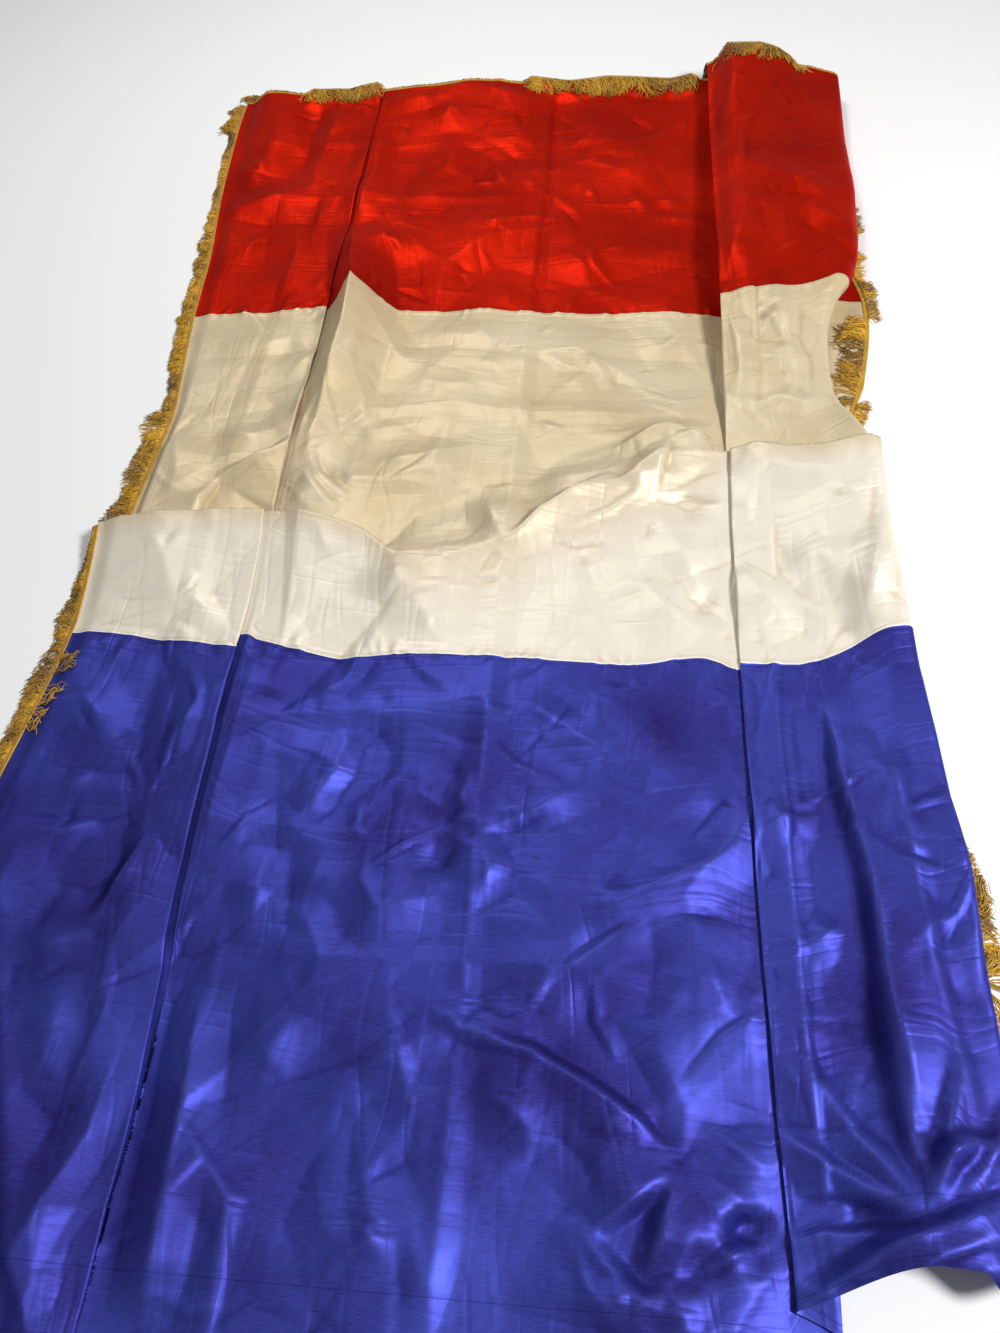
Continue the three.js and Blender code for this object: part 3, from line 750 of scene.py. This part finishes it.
def cloth_rows(places):
    """Sections at these straight places: x, y, height, width of cloth and the bend of each point, which sets
    its painted highlight or painted shade.
    """
    rows = []
    for y in places:
        x, layer, panel, across = section(y)
        laid = y + shift(across, y)
        height = relief(x, laid) + far_lip(across, y) + panel * panel_height(x, y)
        height = height + layer * LAYER + SHEET / 2
        beyond = laid - along(TUCK_LINE, x)
        lean = TUCK_OVERLAP * (1 - soft_tuck(x)) * smooth(beyond, 0, TUCK_LIP)
        laid = laid - lean * (1 - smooth(beyond, TUCK_LIP, TUCK_OVERLAP_END))
        rows.append(np.stack([x, laid, height, across, layer], 1))
    x, y, height, across, layer = np.moveaxis(np.stack(rows), 2, 0)
    totals = {panel: np.zeros_like(x) for panel in "LMRA"}
    for panel, tall, left, right, points in CREASES:
        totals[panel] += crease_relief(x, y, tall, left, right, points)
    total = texture_relief(x, y) + totals["A"] + layered(totals, across, layer)
    edge = smooth(across, 0, FLAT_AT_LEFT) * (1 - smooth(across, WIDTH - FLAT_AT_RIGHT, WIDTH))
    total = np.maximum(0, total) * np.maximum(EDGE_SHARE, edge) * pressed(across)
    straight = np.repeat(np.array(places)[:, None], x.shape[1], 1)
    kept = 1 - 0.6 * smooth(height, 55, 100)  # high folds are stretched flatter
    top = height + total * kept + seam_lift(straight, across)
    return x, y, np.clip(top, SHEET / 2, HIGHEST), across, bend_for_painted_light(total, x, y)


def bend_for_painted_light(height, x, y):
    """How sharply the cloth is bent: above zero on crests, below zero in troughs; it sets the painted
    highlights on crests and the painted shade in troughs.
    """
    step_x = np.maximum(2.0, np.abs(np.gradient(x, axis=1)))
    step_y = np.maximum(2.0, np.abs(np.gradient(y, axis=0)))
    bend = np.gradient(np.gradient(height, axis=0) / step_y, axis=0) / step_y
    bend = bend + np.gradient(np.gradient(height, axis=1) / step_x, axis=1) / step_x
    return np.clip(-bend / SHARP_BEND, -1, 1)


def seam_lift(straight, across):
    """The white selvage laps over both neighbours, and the hems are two layers thicker."""
    white = (straight > -SEAM_LAP) & (straight < BAND + SEAM_LAP)
    near = 1 - smooth(np.abs(straight - SEAM / 2), SEAM / 2 + 1, SEAM / 2 + 3)
    far = 1 - smooth(np.abs(straight - BAND + SEAM / 2), SEAM / 2 + 1, SEAM / 2 + 3)
    hem = 1 - smooth(2 * BAND - straight, HEM, HEM + 3)
    sides = 1 - smooth(np.minimum(across, WIDTH - across), HEM, HEM + 3)
    return np.where(white, np.maximum(near, far), 0) * SEAM_RISE + np.maximum(hem, sides) * HEM_RISE


def new_mesh(name, node, vertices, faces, uvs, marks):
    """A visible piece from millimetres: `marks` are named values, one for each vertex."""
    mesh = bpy.data.meshes.new(name)
    mesh.from_pydata(((vertices - MIDDLE) * MM).tolist(), [], faces)
    layer = mesh.uv_layers.new(name="cloth")
    loops = np.empty(len(mesh.loops), np.int32)
    mesh.loops.foreach_get("vertex_index", loops)
    layer.data.foreach_set("uv", (uvs[loops] * MM).astype(np.float32).ravel())
    for mark, values in marks.items():
        attribute = mesh.attributes.new(mark, "FLOAT", "POINT")
        attribute.data.foreach_set("value", np.asarray(values, np.float32).ravel())
    mesh.polygons.foreach_set("use_smooth", [True] * len(mesh.polygons))
    mesh.update()
    piece = bpy.data.objects.new(name, mesh)
    bpy.context.scene.collection.objects.link(piece)
    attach(piece, "root")
    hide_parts(node)
    return piece


def grid_faces(rows, columns):
    """Squares between the points of a grid."""
    i, j = np.meshgrid(np.arange(rows - 1), np.arange(columns - 1), indexing="ij")
    first = (i * columns + j).ravel()
    return np.stack([first, first + 1, first + columns + 1, first + columns], 1)


def make_band(name, node, places):
    """One band of cloth, with its grid of points and their widths of cloth."""
    x, y, height, across, painted_bend_light = cloth_rows(places)
    rows, columns = x.shape
    straight = np.repeat(np.array(places)[:, None], columns, 1)
    points = np.stack([x, y, height], 2)
    uvs = np.stack([across, straight], 2).reshape(-1, 2)
    soft = soft_tuck(x)
    beyond = y - along(TUCK_LINE, x)
    # painted light: one before the tuck line, where the white is painted paler, zero beyond it
    painted_light_before_tuck = 1 - smooth(beyond, mix(*PAINTED_LIGHT_FULL_UP_TO, soft), mix(*PAINTED_LIGHT_GONE_FROM, soft))
    faces = grid_faces(rows, columns).tolist()
    piece = new_mesh(name, node, points.reshape(-1, 3), faces, uvs, {"painted_bend_light": painted_bend_light, "painted_light_before_tuck": painted_light_before_tuck})
    return piece, points, across[0]


def band_places(start, end, steps):
    """Straight places of a band's rows, close together beside its two seams."""
    inner = np.linspace(start + 12, end - 12, steps)
    beside = np.array(ROWS_BESIDE_SEAM)
    return np.concatenate([start + beside, inner, end - beside[::-1]]).tolist()


# -------- fringe
def cloth_tree(grids):
    """All the cloth in one tree, to find its top."""
    vertices = np.concatenate([grid.reshape(-1, 3) for grid in grids])
    starts = np.cumsum([0] + [grid.shape[0] * grid.shape[1] for grid in grids[:-1]])
    faces = np.concatenate([grid_faces(*grid.shape[:2]) + start for grid, start in zip(grids, starts)])
    return BVHTree.FromPolygons(vertices.tolist(), faces.tolist())


def cloth_top(tree, points):
    """Height of the cloth at each of these points, or zero beside it."""
    out = np.zeros(len(points))
    for i, (x, y) in enumerate(points):
        hit = tree.ray_cast(Vector((x, y, 400)), DOWN)[0]
        out[i] = hit.z if hit else 0.0
    return out


def clump_field(rng, count, spacing, places):
    """Random smooth values along the edge, which change from clump to clump."""
    knots = np.cumsum(rng.uniform(0.6, 1.6, count) * spacing) + places.min() - 2 * spacing
    return lambda spread: np.interp(places, knots, rng.normal(0, spread, count))


def strand_paths(seed, roots, outward, reach, flipped, tree, count):
    """Paths of curly strands from an edge, and their tones; the arrays have one row for each root."""
    rng = np.random.default_rng(seed)
    gaps = np.hypot(*np.diff(roots[:, :2], axis=0).T)
    run = np.concatenate([[0], np.cumsum(gaps)])
    place = np.sort(rng.uniform(0, run[-1], count))
    root = np.stack([np.interp(place, run, roots[:, k]) for k in range(3)], 1)
    out = np.stack([np.interp(place, run, outward[:, k]) for k in range(2)], 1)
    out /= np.linalg.norm(out, axis=1)[:, None]
    share = np.interp(place, run, reach)
    flip = np.interp(place, run, flipped) > rng.uniform(0.25, 0.75, count)
    # lean, curl and length of each strand, alike within a clump
    field = clump_field(rng, int(run[-1] / 18) + 8, 26, place)
    lean = field(0.5) + rng.normal(0, 0.2, count)
    curl = np.abs(field(1.0)) * 3.2 + rng.uniform(1.2, 4.4, count) + (1 - np.clip(share, 0, 1)) * 5
    length = (np.where(flip, FLIPPED_FRINGE, FRINGE) - HEADING) * share
    length = length * (1 + field(0.2)) * rng.uniform(0.84, 1.1, count)
    # seen from above: a leaning line that sways
    ahead = np.stack([
        out[:, 0] * np.cos(lean) - out[:, 1] * np.sin(lean),
        out[:, 0] * np.sin(lean) + out[:, 1] * np.cos(lean),
    ], 1) * np.where(flip, -1, 1)[:, None]
    aside = np.stack([-ahead[:, 1], ahead[:, 0]], 1)
    t = np.linspace(0, 1, STRAND_POINTS)[None, :]
    turns = rng.uniform(0.8, 1.9, count)[:, None]
    phase = rng.uniform(0, math.tau, count)[:, None]
    wave = np.sin(math.tau * turns * t + phase) - np.sin(phase) * (1 - t)
    sway = curl[:, None] * wave * t ** 0.6
    start = root[:, None, :2] + out[:, None, :] * np.where(flip, 1.5, HEADING - 2)[:, None, None]
    flat = start + ahead[:, None, :] * (length[:, None] * t)[..., None] + aside[:, None, :] * sway[..., None]
    # height: over the cloth where flipped, else down to the floor, and piled on each other
    pile = rng.uniform(0.8, 7.5, count)[:, None] * np.sin(math.pi * np.clip(t * 0.8 + 0.12, 0, 1)) + 1.2
    lift = curl[:, None] * 0.5 * (1 + np.cos(math.tau * turns * t + phase)) * t
    floor_height = root[:, 2][:, None] * (1 - smooth(t, 0.05, 0.75))
    over = cloth_top(tree, flat.reshape(-1, 2)).reshape(count, STRAND_POINTS)
    height = np.where(flip[:, None], over, floor_height) + pile * 0.6 + lift * 0.5
    height[:, 0] = root[:, 2] + 1.2
    height = np.minimum(height, STRAND_HIGHEST)
    tones = np.clip(rng.uniform(0, 1, count) * 0.7 + 0.15 + field(0.22), 0, 1)
    return np.concatenate([flat, height[..., None]], 2), tones


def pairs(first, second, shape):
    """Both arrays spread to one shape and put side by side, as rows of two."""
    return np.stack([np.broadcast_to(first, shape), np.broadcast_to(second, shape)], -1).reshape(-1, 2)


def strand_mesh(paths, tones):
    """Vertices, faces, uvs and tones of many thin closed tubes, one along each path."""
    count, points, _ = paths.shape
    sides = STRAND_SIDES
    ahead = np.gradient(paths, axis=1)
    ahead /= np.linalg.norm(ahead, axis=2)[..., None] + 1e-9
    side = np.cross(ahead, [0.0, 0.0, 1.0])
    side /= np.linalg.norm(side, axis=2)[..., None] + 1e-9
    above = np.cross(side, ahead)
    taper = np.interp(np.linspace(0, 1, points), [0, 0.85, 1], [1, 0.95, 0.55])
    angle = np.arange(sides) * math.tau / sides
    ring = np.cos(angle)[:, None] * side[:, :, None, :] + np.sin(angle)[:, None] * above[:, :, None, :]
    vertices = paths[:, :, None, :] + ring * (STRAND_RADIUS * taper)[None, :, None, None]
    vertices[..., 2] = np.maximum(vertices[..., 2], LOWEST)
    index = np.arange(count * points * sides).reshape(count, points, sides)
    turned = np.roll(index, -1, axis=2)
    quads = np.stack([index[:, :-1], turned[:, :-1], turned[:, 1:], index[:, 1:]], -1).reshape(-1, 4)
    faces = quads.tolist() + index[:, 0, ::-1].tolist() + index[:, -1, :].tolist()
    steps = np.linalg.norm(np.diff(paths, axis=1), axis=2)
    run = np.concatenate([np.zeros((count, 1)), np.cumsum(steps, axis=1)], 1)
    around = np.arange(sides) * STRAND_RADIUS * 2
    uvs = pairs(around, run[..., None], index.shape)
    return vertices.reshape(-1, 3), faces, uvs, np.repeat(tones, points * sides)


def heading_mesh(roots, outward):
    """Woven heading along an edge: a flat closed band with a cord at the cloth side."""
    offsets = np.array(HEADING_OUTLINE)
    count, sides = len(roots), len(offsets)
    flat = roots[:, None, :2] + outward[:, None, :] * offsets[None, :, :1]
    height = roots[:, 2][:, None] + offsets[None, :, 1] + 0.3
    vertices = np.concatenate([flat, np.maximum(height, LOWEST)[..., None]], 2).reshape(-1, 3)
    index = np.arange(count * sides).reshape(count, sides)
    turned = np.roll(index, -1, axis=1)
    quads = np.stack([index[:-1], index[1:], turned[1:], turned[:-1]], -1).reshape(-1, 4).tolist()
    faces = quads + [index[0].tolist()] + [index[-1, ::-1].tolist()]
    gaps = np.linalg.norm(np.diff(roots, axis=0), axis=1)
    run = np.concatenate([[0], np.cumsum(gaps)])
    uvs = pairs(offsets[:, 0], run[:, None], index.shape)
    return vertices, faces, uvs, np.full(count * sides, HEADING_TONE)


def make_fringe(name, node, seed, roots, outward, reach, flipped, tree, count):
    """Heading and strands as one piece."""
    paths, tones = strand_paths(seed, roots, outward, reach, flipped, tree, count)
    strands, heading = strand_mesh(paths, tones), heading_mesh(roots, outward)
    first = len(strands[0])
    faces = strands[1] + [[first + i for i in face] for face in heading[1]]
    vertices, uvs, tone = [np.concatenate([strands[k], heading[k]]) for k in (0, 2, 3)]
    return new_mesh(name, node, vertices, faces, uvs, {"tone": tone})


def long_edge(grids, column, way):
    """Places, points and outward directions along one side of the bands, up to the sleeve."""
    edge = np.concatenate([grid[:, column] for grid in grids])
    edge = edge[edge[:, 1] > -BAND]
    edge = edge[np.argsort(edge[:, 1], kind="stable")]
    edge = edge[np.concatenate([[True], np.diff(edge[:, 1]) > CLOSEST_ROOTS])]
    slope = np.gradient(edge[:, 0], edge[:, 1])
    outward = np.stack([np.full(len(edge), float(way)), -way * slope], 1)
    return edge[:, 1], edge, outward / np.linalg.norm(outward, axis=1)[:, None]


# -------- materials
class Nodes:
    """Short hand for building the node tree of a material."""

    def __init__(self, name):
        self.material = bpy.data.materials.new(name)
        self.material.use_nodes = True
        self.tree = self.material.node_tree

    def feed(self, socket, value):
        if isinstance(value, bpy.types.NodeSocket):
            self.tree.links.new(value, socket)
        else:
            socket.default_value = value

    def surface(self, inputs):
        """Settings of the shader, each a number, a colour or another node's output."""
        for key, value in inputs.items():
            self.feed(self.tree.nodes["Principled BSDF"].inputs[key], value)
        return self.material

    def add(self, kind, inputs=None, **settings):
        node = self.tree.nodes.new("ShaderNode" + kind)
        for key, value in settings.items():
            setattr(node, key, value)
        for key, value in (inputs or {}).items():
            self.feed(node.inputs[key], value)
        return node

    def cloth_uv(self):
        """Width of cloth and straight place, in metres."""
        return self.add("UVMap", uv_map="cloth").outputs[0]

    def mark(self, name):
        return self.add("Attribute", attribute_name=name).outputs["Fac"]

    def math(self, operation, first, second=0.0):
        return self.add("Math", {0: first, 1: second}, operation=operation).outputs[0]

    def weigh(self, first, first_share, second, second_share):
        first, second = self.math("MULTIPLY", first, first_share), self.math("MULTIPLY", second, second_share)
        return self.math("ADD", first, second)

    def ramp(self, value, low, high):
        return self.add("MapRange", {"Value": value, "From Min": low, "From Max": high}).outputs["Result"]

    def stretch(self, uv, scale, turn=0.0):
        return self.add("Mapping", {"Vector": uv, "Scale": scale, "Rotation": (0, 0, turn)}).outputs[0]

    def noise(self, place, scale, detail):
        return self.add("TexNoise", {"Vector": place, "Scale": scale, "Detail": detail}).outputs["Fac"]

    def bump(self, height, strength, distance, **before):
        inputs = {"Height": height, "Strength": strength, "Distance": distance, **before}
        return self.add("Bump", inputs).outputs[0]

    def wrinkles(self, uv, scale, turn, width):
        """Fine pressed wrinkles in patches: sharp troughs along the middle lines of a noise."""
        place = self.stretch(uv, scale, turn)
        away = self.math("ABSOLUTE", self.math("SUBTRACT", self.noise(place, 1, 0.4), 0.5))
        trough = self.math("SUBTRACT", self.ramp(away, 0.0, width), 1.0)
        return self.math("MULTIPLY", trough, self.ramp(self.noise(place, 0.5, 2), 0.46, 0.64))

    def line(self, uv, place, half_width):
        """One on a straight line across the flag, zero elsewhere."""
        straight = self.add("SeparateXYZ", {"Vector": uv}).outputs["Y"]
        away = self.math("ABSOLUTE", self.math("SUBTRACT", straight, place))
        return self.math("LESS_THAN", away, half_width)

    def stitches(self, uv, place):
        """Row of stitches across the flag at one straight place."""
        across = self.add("SeparateXYZ", {"Vector": uv}).outputs["X"]
        run = self.math("FRACT", self.math("MULTIPLY", across, STITCHES_PER_METRE))
        return self.math("MULTIPLY", self.line(uv, place, 0.0008), self.math("GREATER_THAN", run, 0.25))

    def blend(self, share, first, second, mode="MIX"):
        node = self.add("Mix", data_type="RGBA", blend_type=mode)
        factor = next(s for s in node.inputs if s.name == "Factor" and s.type == "VALUE")
        sides = [s for s in node.inputs if s.type == "RGBA"]
        for socket, value in zip([factor, *sides], [share, first, second]):
            self.feed(socket, value)
        return next(s for s in node.outputs if s.type == "RGBA")


STITCHES_PER_METRE = 330.0
# painted highlight: a near-white line where the white's edge laps over the blue
SEAM_EDGE_HIGHLIGHT = (1.0, 0.98, 0.92, 1)
SEAM_EDGE_HIGHLIGHT_HALF_WIDTH = 0.0018
# Sets of pressed wrinkles, as (stretch, turn, width)
WRINKLES = [
    ((4, 30, 1), 0.0, 0.07), ((6, 30, 1), 0.5, 0.08), ((6, 28, 1), -0.6, 0.08),
    ((26, 4, 1), 0.1, 0.08), ((30, 6, 1), -0.2, 0.08),
]


def silk(name, colour, deep, crest, metallic, stitches, painted_light_before_tuck=None, seam_highlights=()):
    """Silk taffeta: fine ribs and slubs across the flag, soft sheen, painted highlights on the crests,
    painted shade in the troughs and a painted highlight along the listed seams.
    """
    kit = Nodes(name)
    uv = kit.cloth_uv()
    slubs = kit.noise(kit.stretch(uv, (80, 700, 1)), 1, 3)
    warp = kit.noise(kit.stretch(uv, (800, 34, 1)), 1, 2)
    crinkle = 0.0
    for scale, turn, width in WRINKLES:
        crinkle = kit.math("ADD", crinkle, kit.wrinkles(uv, scale, turn, width))
    # the dye, deeper in patches, then the cloth before the tuck painted paler as painted light, the crests
    # painted pale as painted highlights and the troughs painted dark as painted shade
    dyed = kit.blend(kit.ramp(kit.weigh(kit.noise(uv, 4, 4), 0.65, slubs, 0.35), 0.32, 0.68), deep, colour)
    if painted_light_before_tuck:
        dyed = kit.blend(kit.mark("painted_light_before_tuck"), dyed, painted_light_before_tuck)
    # painted highlight: crests are painted towards the pale crest colour; painted shade: troughs are darkened
    # towards the deep colour
    painted_bend_light = kit.mark("painted_bend_light")
    pale = kit.blend(kit.ramp(painted_bend_light, 0.3, 6.0), dyed, crest)
    skin = kit.blend(kit.math("MULTIPLY", kit.ramp(painted_bend_light, -0.2, -2.0), 0.7), pale, deep, "MULTIPLY")
    # painted highlight along the lapped seam edge
    for place in seam_highlights:
        skin = kit.blend(kit.line(uv, place, SEAM_EDGE_HIGHLIGHT_HALF_WIDTH), skin, SEAM_EDGE_HIGHLIGHT)
    for place in stitches:
        skin = kit.blend(kit.math("MULTIPLY", kit.stitches(uv, place), 0.4), skin, deep, "MULTIPLY")
    weave = kit.bump(kit.weigh(slubs, 0.7, warp, 0.3), 0.11, 0.0004)
    return kit.surface({
        "Base Color": skin,
        "Roughness": kit.math("ADD", 0.46, kit.math("MULTIPLY", slubs, 0.08)),
        "Metallic": metallic,
        "Specular IOR Level": 0.15,
        "Specular Tint": crest,
        "Sheen Weight": 0.02,
        "Sheen Roughness": 0.4,
        "Normal": kit.bump(crinkle, 0.42, 0.0012, Normal=weave),
    })


def gold_thread():
    """Gold rayon thread: each strand its own tone, with the twist of the yarn."""
    kit = Nodes("gold_thread")
    place = kit.add("TexCoord").outputs["Object"]
    share = kit.weigh(kit.mark("tone"), 0.55, kit.noise(place, 45, 3), 0.5)
    waves = {"Vector": kit.cloth_uv(), "Scale": 260, "Distortion": 1.0}
    twist = kit.add("TexWave", waves, bands_direction="DIAGONAL").outputs["Fac"]
    return kit.surface({
        "Base Color": kit.blend(kit.ramp(share, 0.2, 0.85), (0.14, 0.05, 0.002, 1), (0.95, 0.54, 0.014, 1)),
        "Roughness": 0.42,
        "Metallic": 0.25,
        "Sheen Weight": 0.2,
        "Normal": kit.bump(twist, 0.5, 0.0005),
    })


# -------- camera, light and floor
LENS = 28  # a 28 mm lens, taken as the photo's
SENSOR = 36
PITCH = math.radians(55.32)
YAW = math.radians(-9.082)
ROLL = math.radians(5.592)
LIGHTS = [  # name, place, aim, size, watts
    ("key", (3.0, -1.5, 3.5), (0.0, 0.1, 0.0), 1.0, 204),
    ("far", (-0.6, 1.8, 2.6), (0.0, 0.9, 0.0), 0.7, 30),
]
WORLD_STRENGTH = 0.19
EYE = (Vector((163.5, -965.9, 1401.2)) - Vector(MIDDLE)) * MM


def make_camera():
    forward = Vector((math.sin(YAW) * math.cos(PITCH), math.cos(YAW) * math.cos(PITCH), -math.sin(PITCH)))
    level = Vector((math.cos(YAW), -math.sin(YAW), 0))
    below = forward.cross(level)
    right = math.cos(ROLL) * level + math.sin(ROLL) * below
    down = -math.sin(ROLL) * level + math.cos(ROLL) * below
    data = bpy.data.cameras.new("camera")
    data.lens = LENS
    data.sensor_width = SENSOR
    camera = bpy.data.objects.new("camera", data)
    camera.matrix_world = Matrix.Translation(EYE) @ Matrix((right, -down, -forward)).transposed().to_4x4()
    bpy.context.scene.collection.objects.link(camera)
    bpy.context.scene.camera = camera


def make_lights():
    for name, place, aim, size, watts in LIGHTS:
        data = bpy.data.lights.new(name, "AREA")
        data.shape = "DISK"
        data.size = size
        data.energy = watts
        light = bpy.data.objects.new(name, data)
        light.location = place
        light.rotation_euler = (Vector(aim) - Vector(place)).to_track_quat("-Z", "Y").to_euler()
        bpy.context.scene.collection.objects.link(light)
    world = bpy.data.worlds.new("studio")
    world.use_nodes = True
    world.node_tree.nodes["Background"].inputs["Color"].default_value = (1, 1, 1, 1)
    world.node_tree.nodes["Background"].inputs["Strength"].default_value = WORLD_STRENGTH
    bpy.context.scene.world = world
    bpy.context.scene.view_settings.view_transform = "Standard"


def make_floor():
    bpy.ops.mesh.primitive_plane_add(size=30, location=(0, 0, 0))
    floor = bpy.context.object
    floor.name = "floor"
    pale = Nodes("pale_floor").surface({"Base Color": (0.94, 0.94, 0.94, 1), "Roughness": 0.9})
    floor.data.materials.append(pale)


# -------- build
make_camera()
make_lights()
make_floor()
blue_places = band_places(-BAND - SLEEVE, SEAM_UNDER, 232)
white_places = band_places(-SEAM_LAP, BAND + SEAM_LAP, 226)
red_places = band_places(BAND - SEAM_UNDER, 2 * BAND, 220)
blue, blue_points, _ = make_band("blue_cloth", "blue_band", blue_places)
white, white_points, _ = make_band("white_cloth", "white_band", white_places)
red, red_points, red_across = make_band("red_cloth", "red_band", red_places)
blue.data.materials.append(silk(
    "blue_silk", (0.068, 0.088, 0.49, 1), (0.034, 0.023, 0.19, 1), (0.11, 0.16, 0.66, 1), 0.66,
    stitches=[-0.006, -0.9, -0.968],
))
white.data.materials.append(silk(
    "white_silk", (0.76, 0.65, 0.46, 1), (0.60, 0.47, 0.27, 1), (0.95, 0.9, 0.8, 1), 0.26,
    # the paler colour of the white before the tuck is painted light
    stitches=[0.006, 0.894], painted_light_before_tuck=(0.84, 0.77, 0.65, 1), seam_highlights=[0.0],
))
red.data.materials.append(silk(
    "red_silk", (0.72, 0.02, 0.004, 1), (0.36, 0.007, 0.002, 1), (0.9, 0.06, 0.01, 1), 0.62,
    stitches=[0.906, 1.788],
))

cloth = [blue_points, white_points, red_points]
tree = cloth_tree(cloth)
left_y, left_edge, left_way = long_edge(cloth, 0, -1)
left_strands = make_fringe(
    "left_fringe", "fringe_left", 41, left_edge, left_way, along(LEFT_REACH, left_y),
    LEFT_LOOSE_SHARE * within(LEFT_LOOSE, left_y), tree, 3800,
)
right_y, right_edge, right_way = long_edge(cloth, -1, 1)
right_strands = make_fringe(
    "right_fringe", "fringe_right", 42, right_edge, right_way, along(RIGHT_REACH, right_y),
    within(RIGHT_FLIPS, right_y), tree, 2500,
)
far_edge = red_points[-1]
far_strands = make_fringe(
    "far_fringe", "fringe_far", 43, far_edge, np.tile([0.0, 1.0], (len(far_edge), 1)),
    along(FAR_REACH, red_across), within(FAR_FLIPS, red_across), tree, 2500,
)

gold = gold_thread()
for fringe in (left_strands, right_strands, far_strands):
    fringe.data.materials.append(gold)
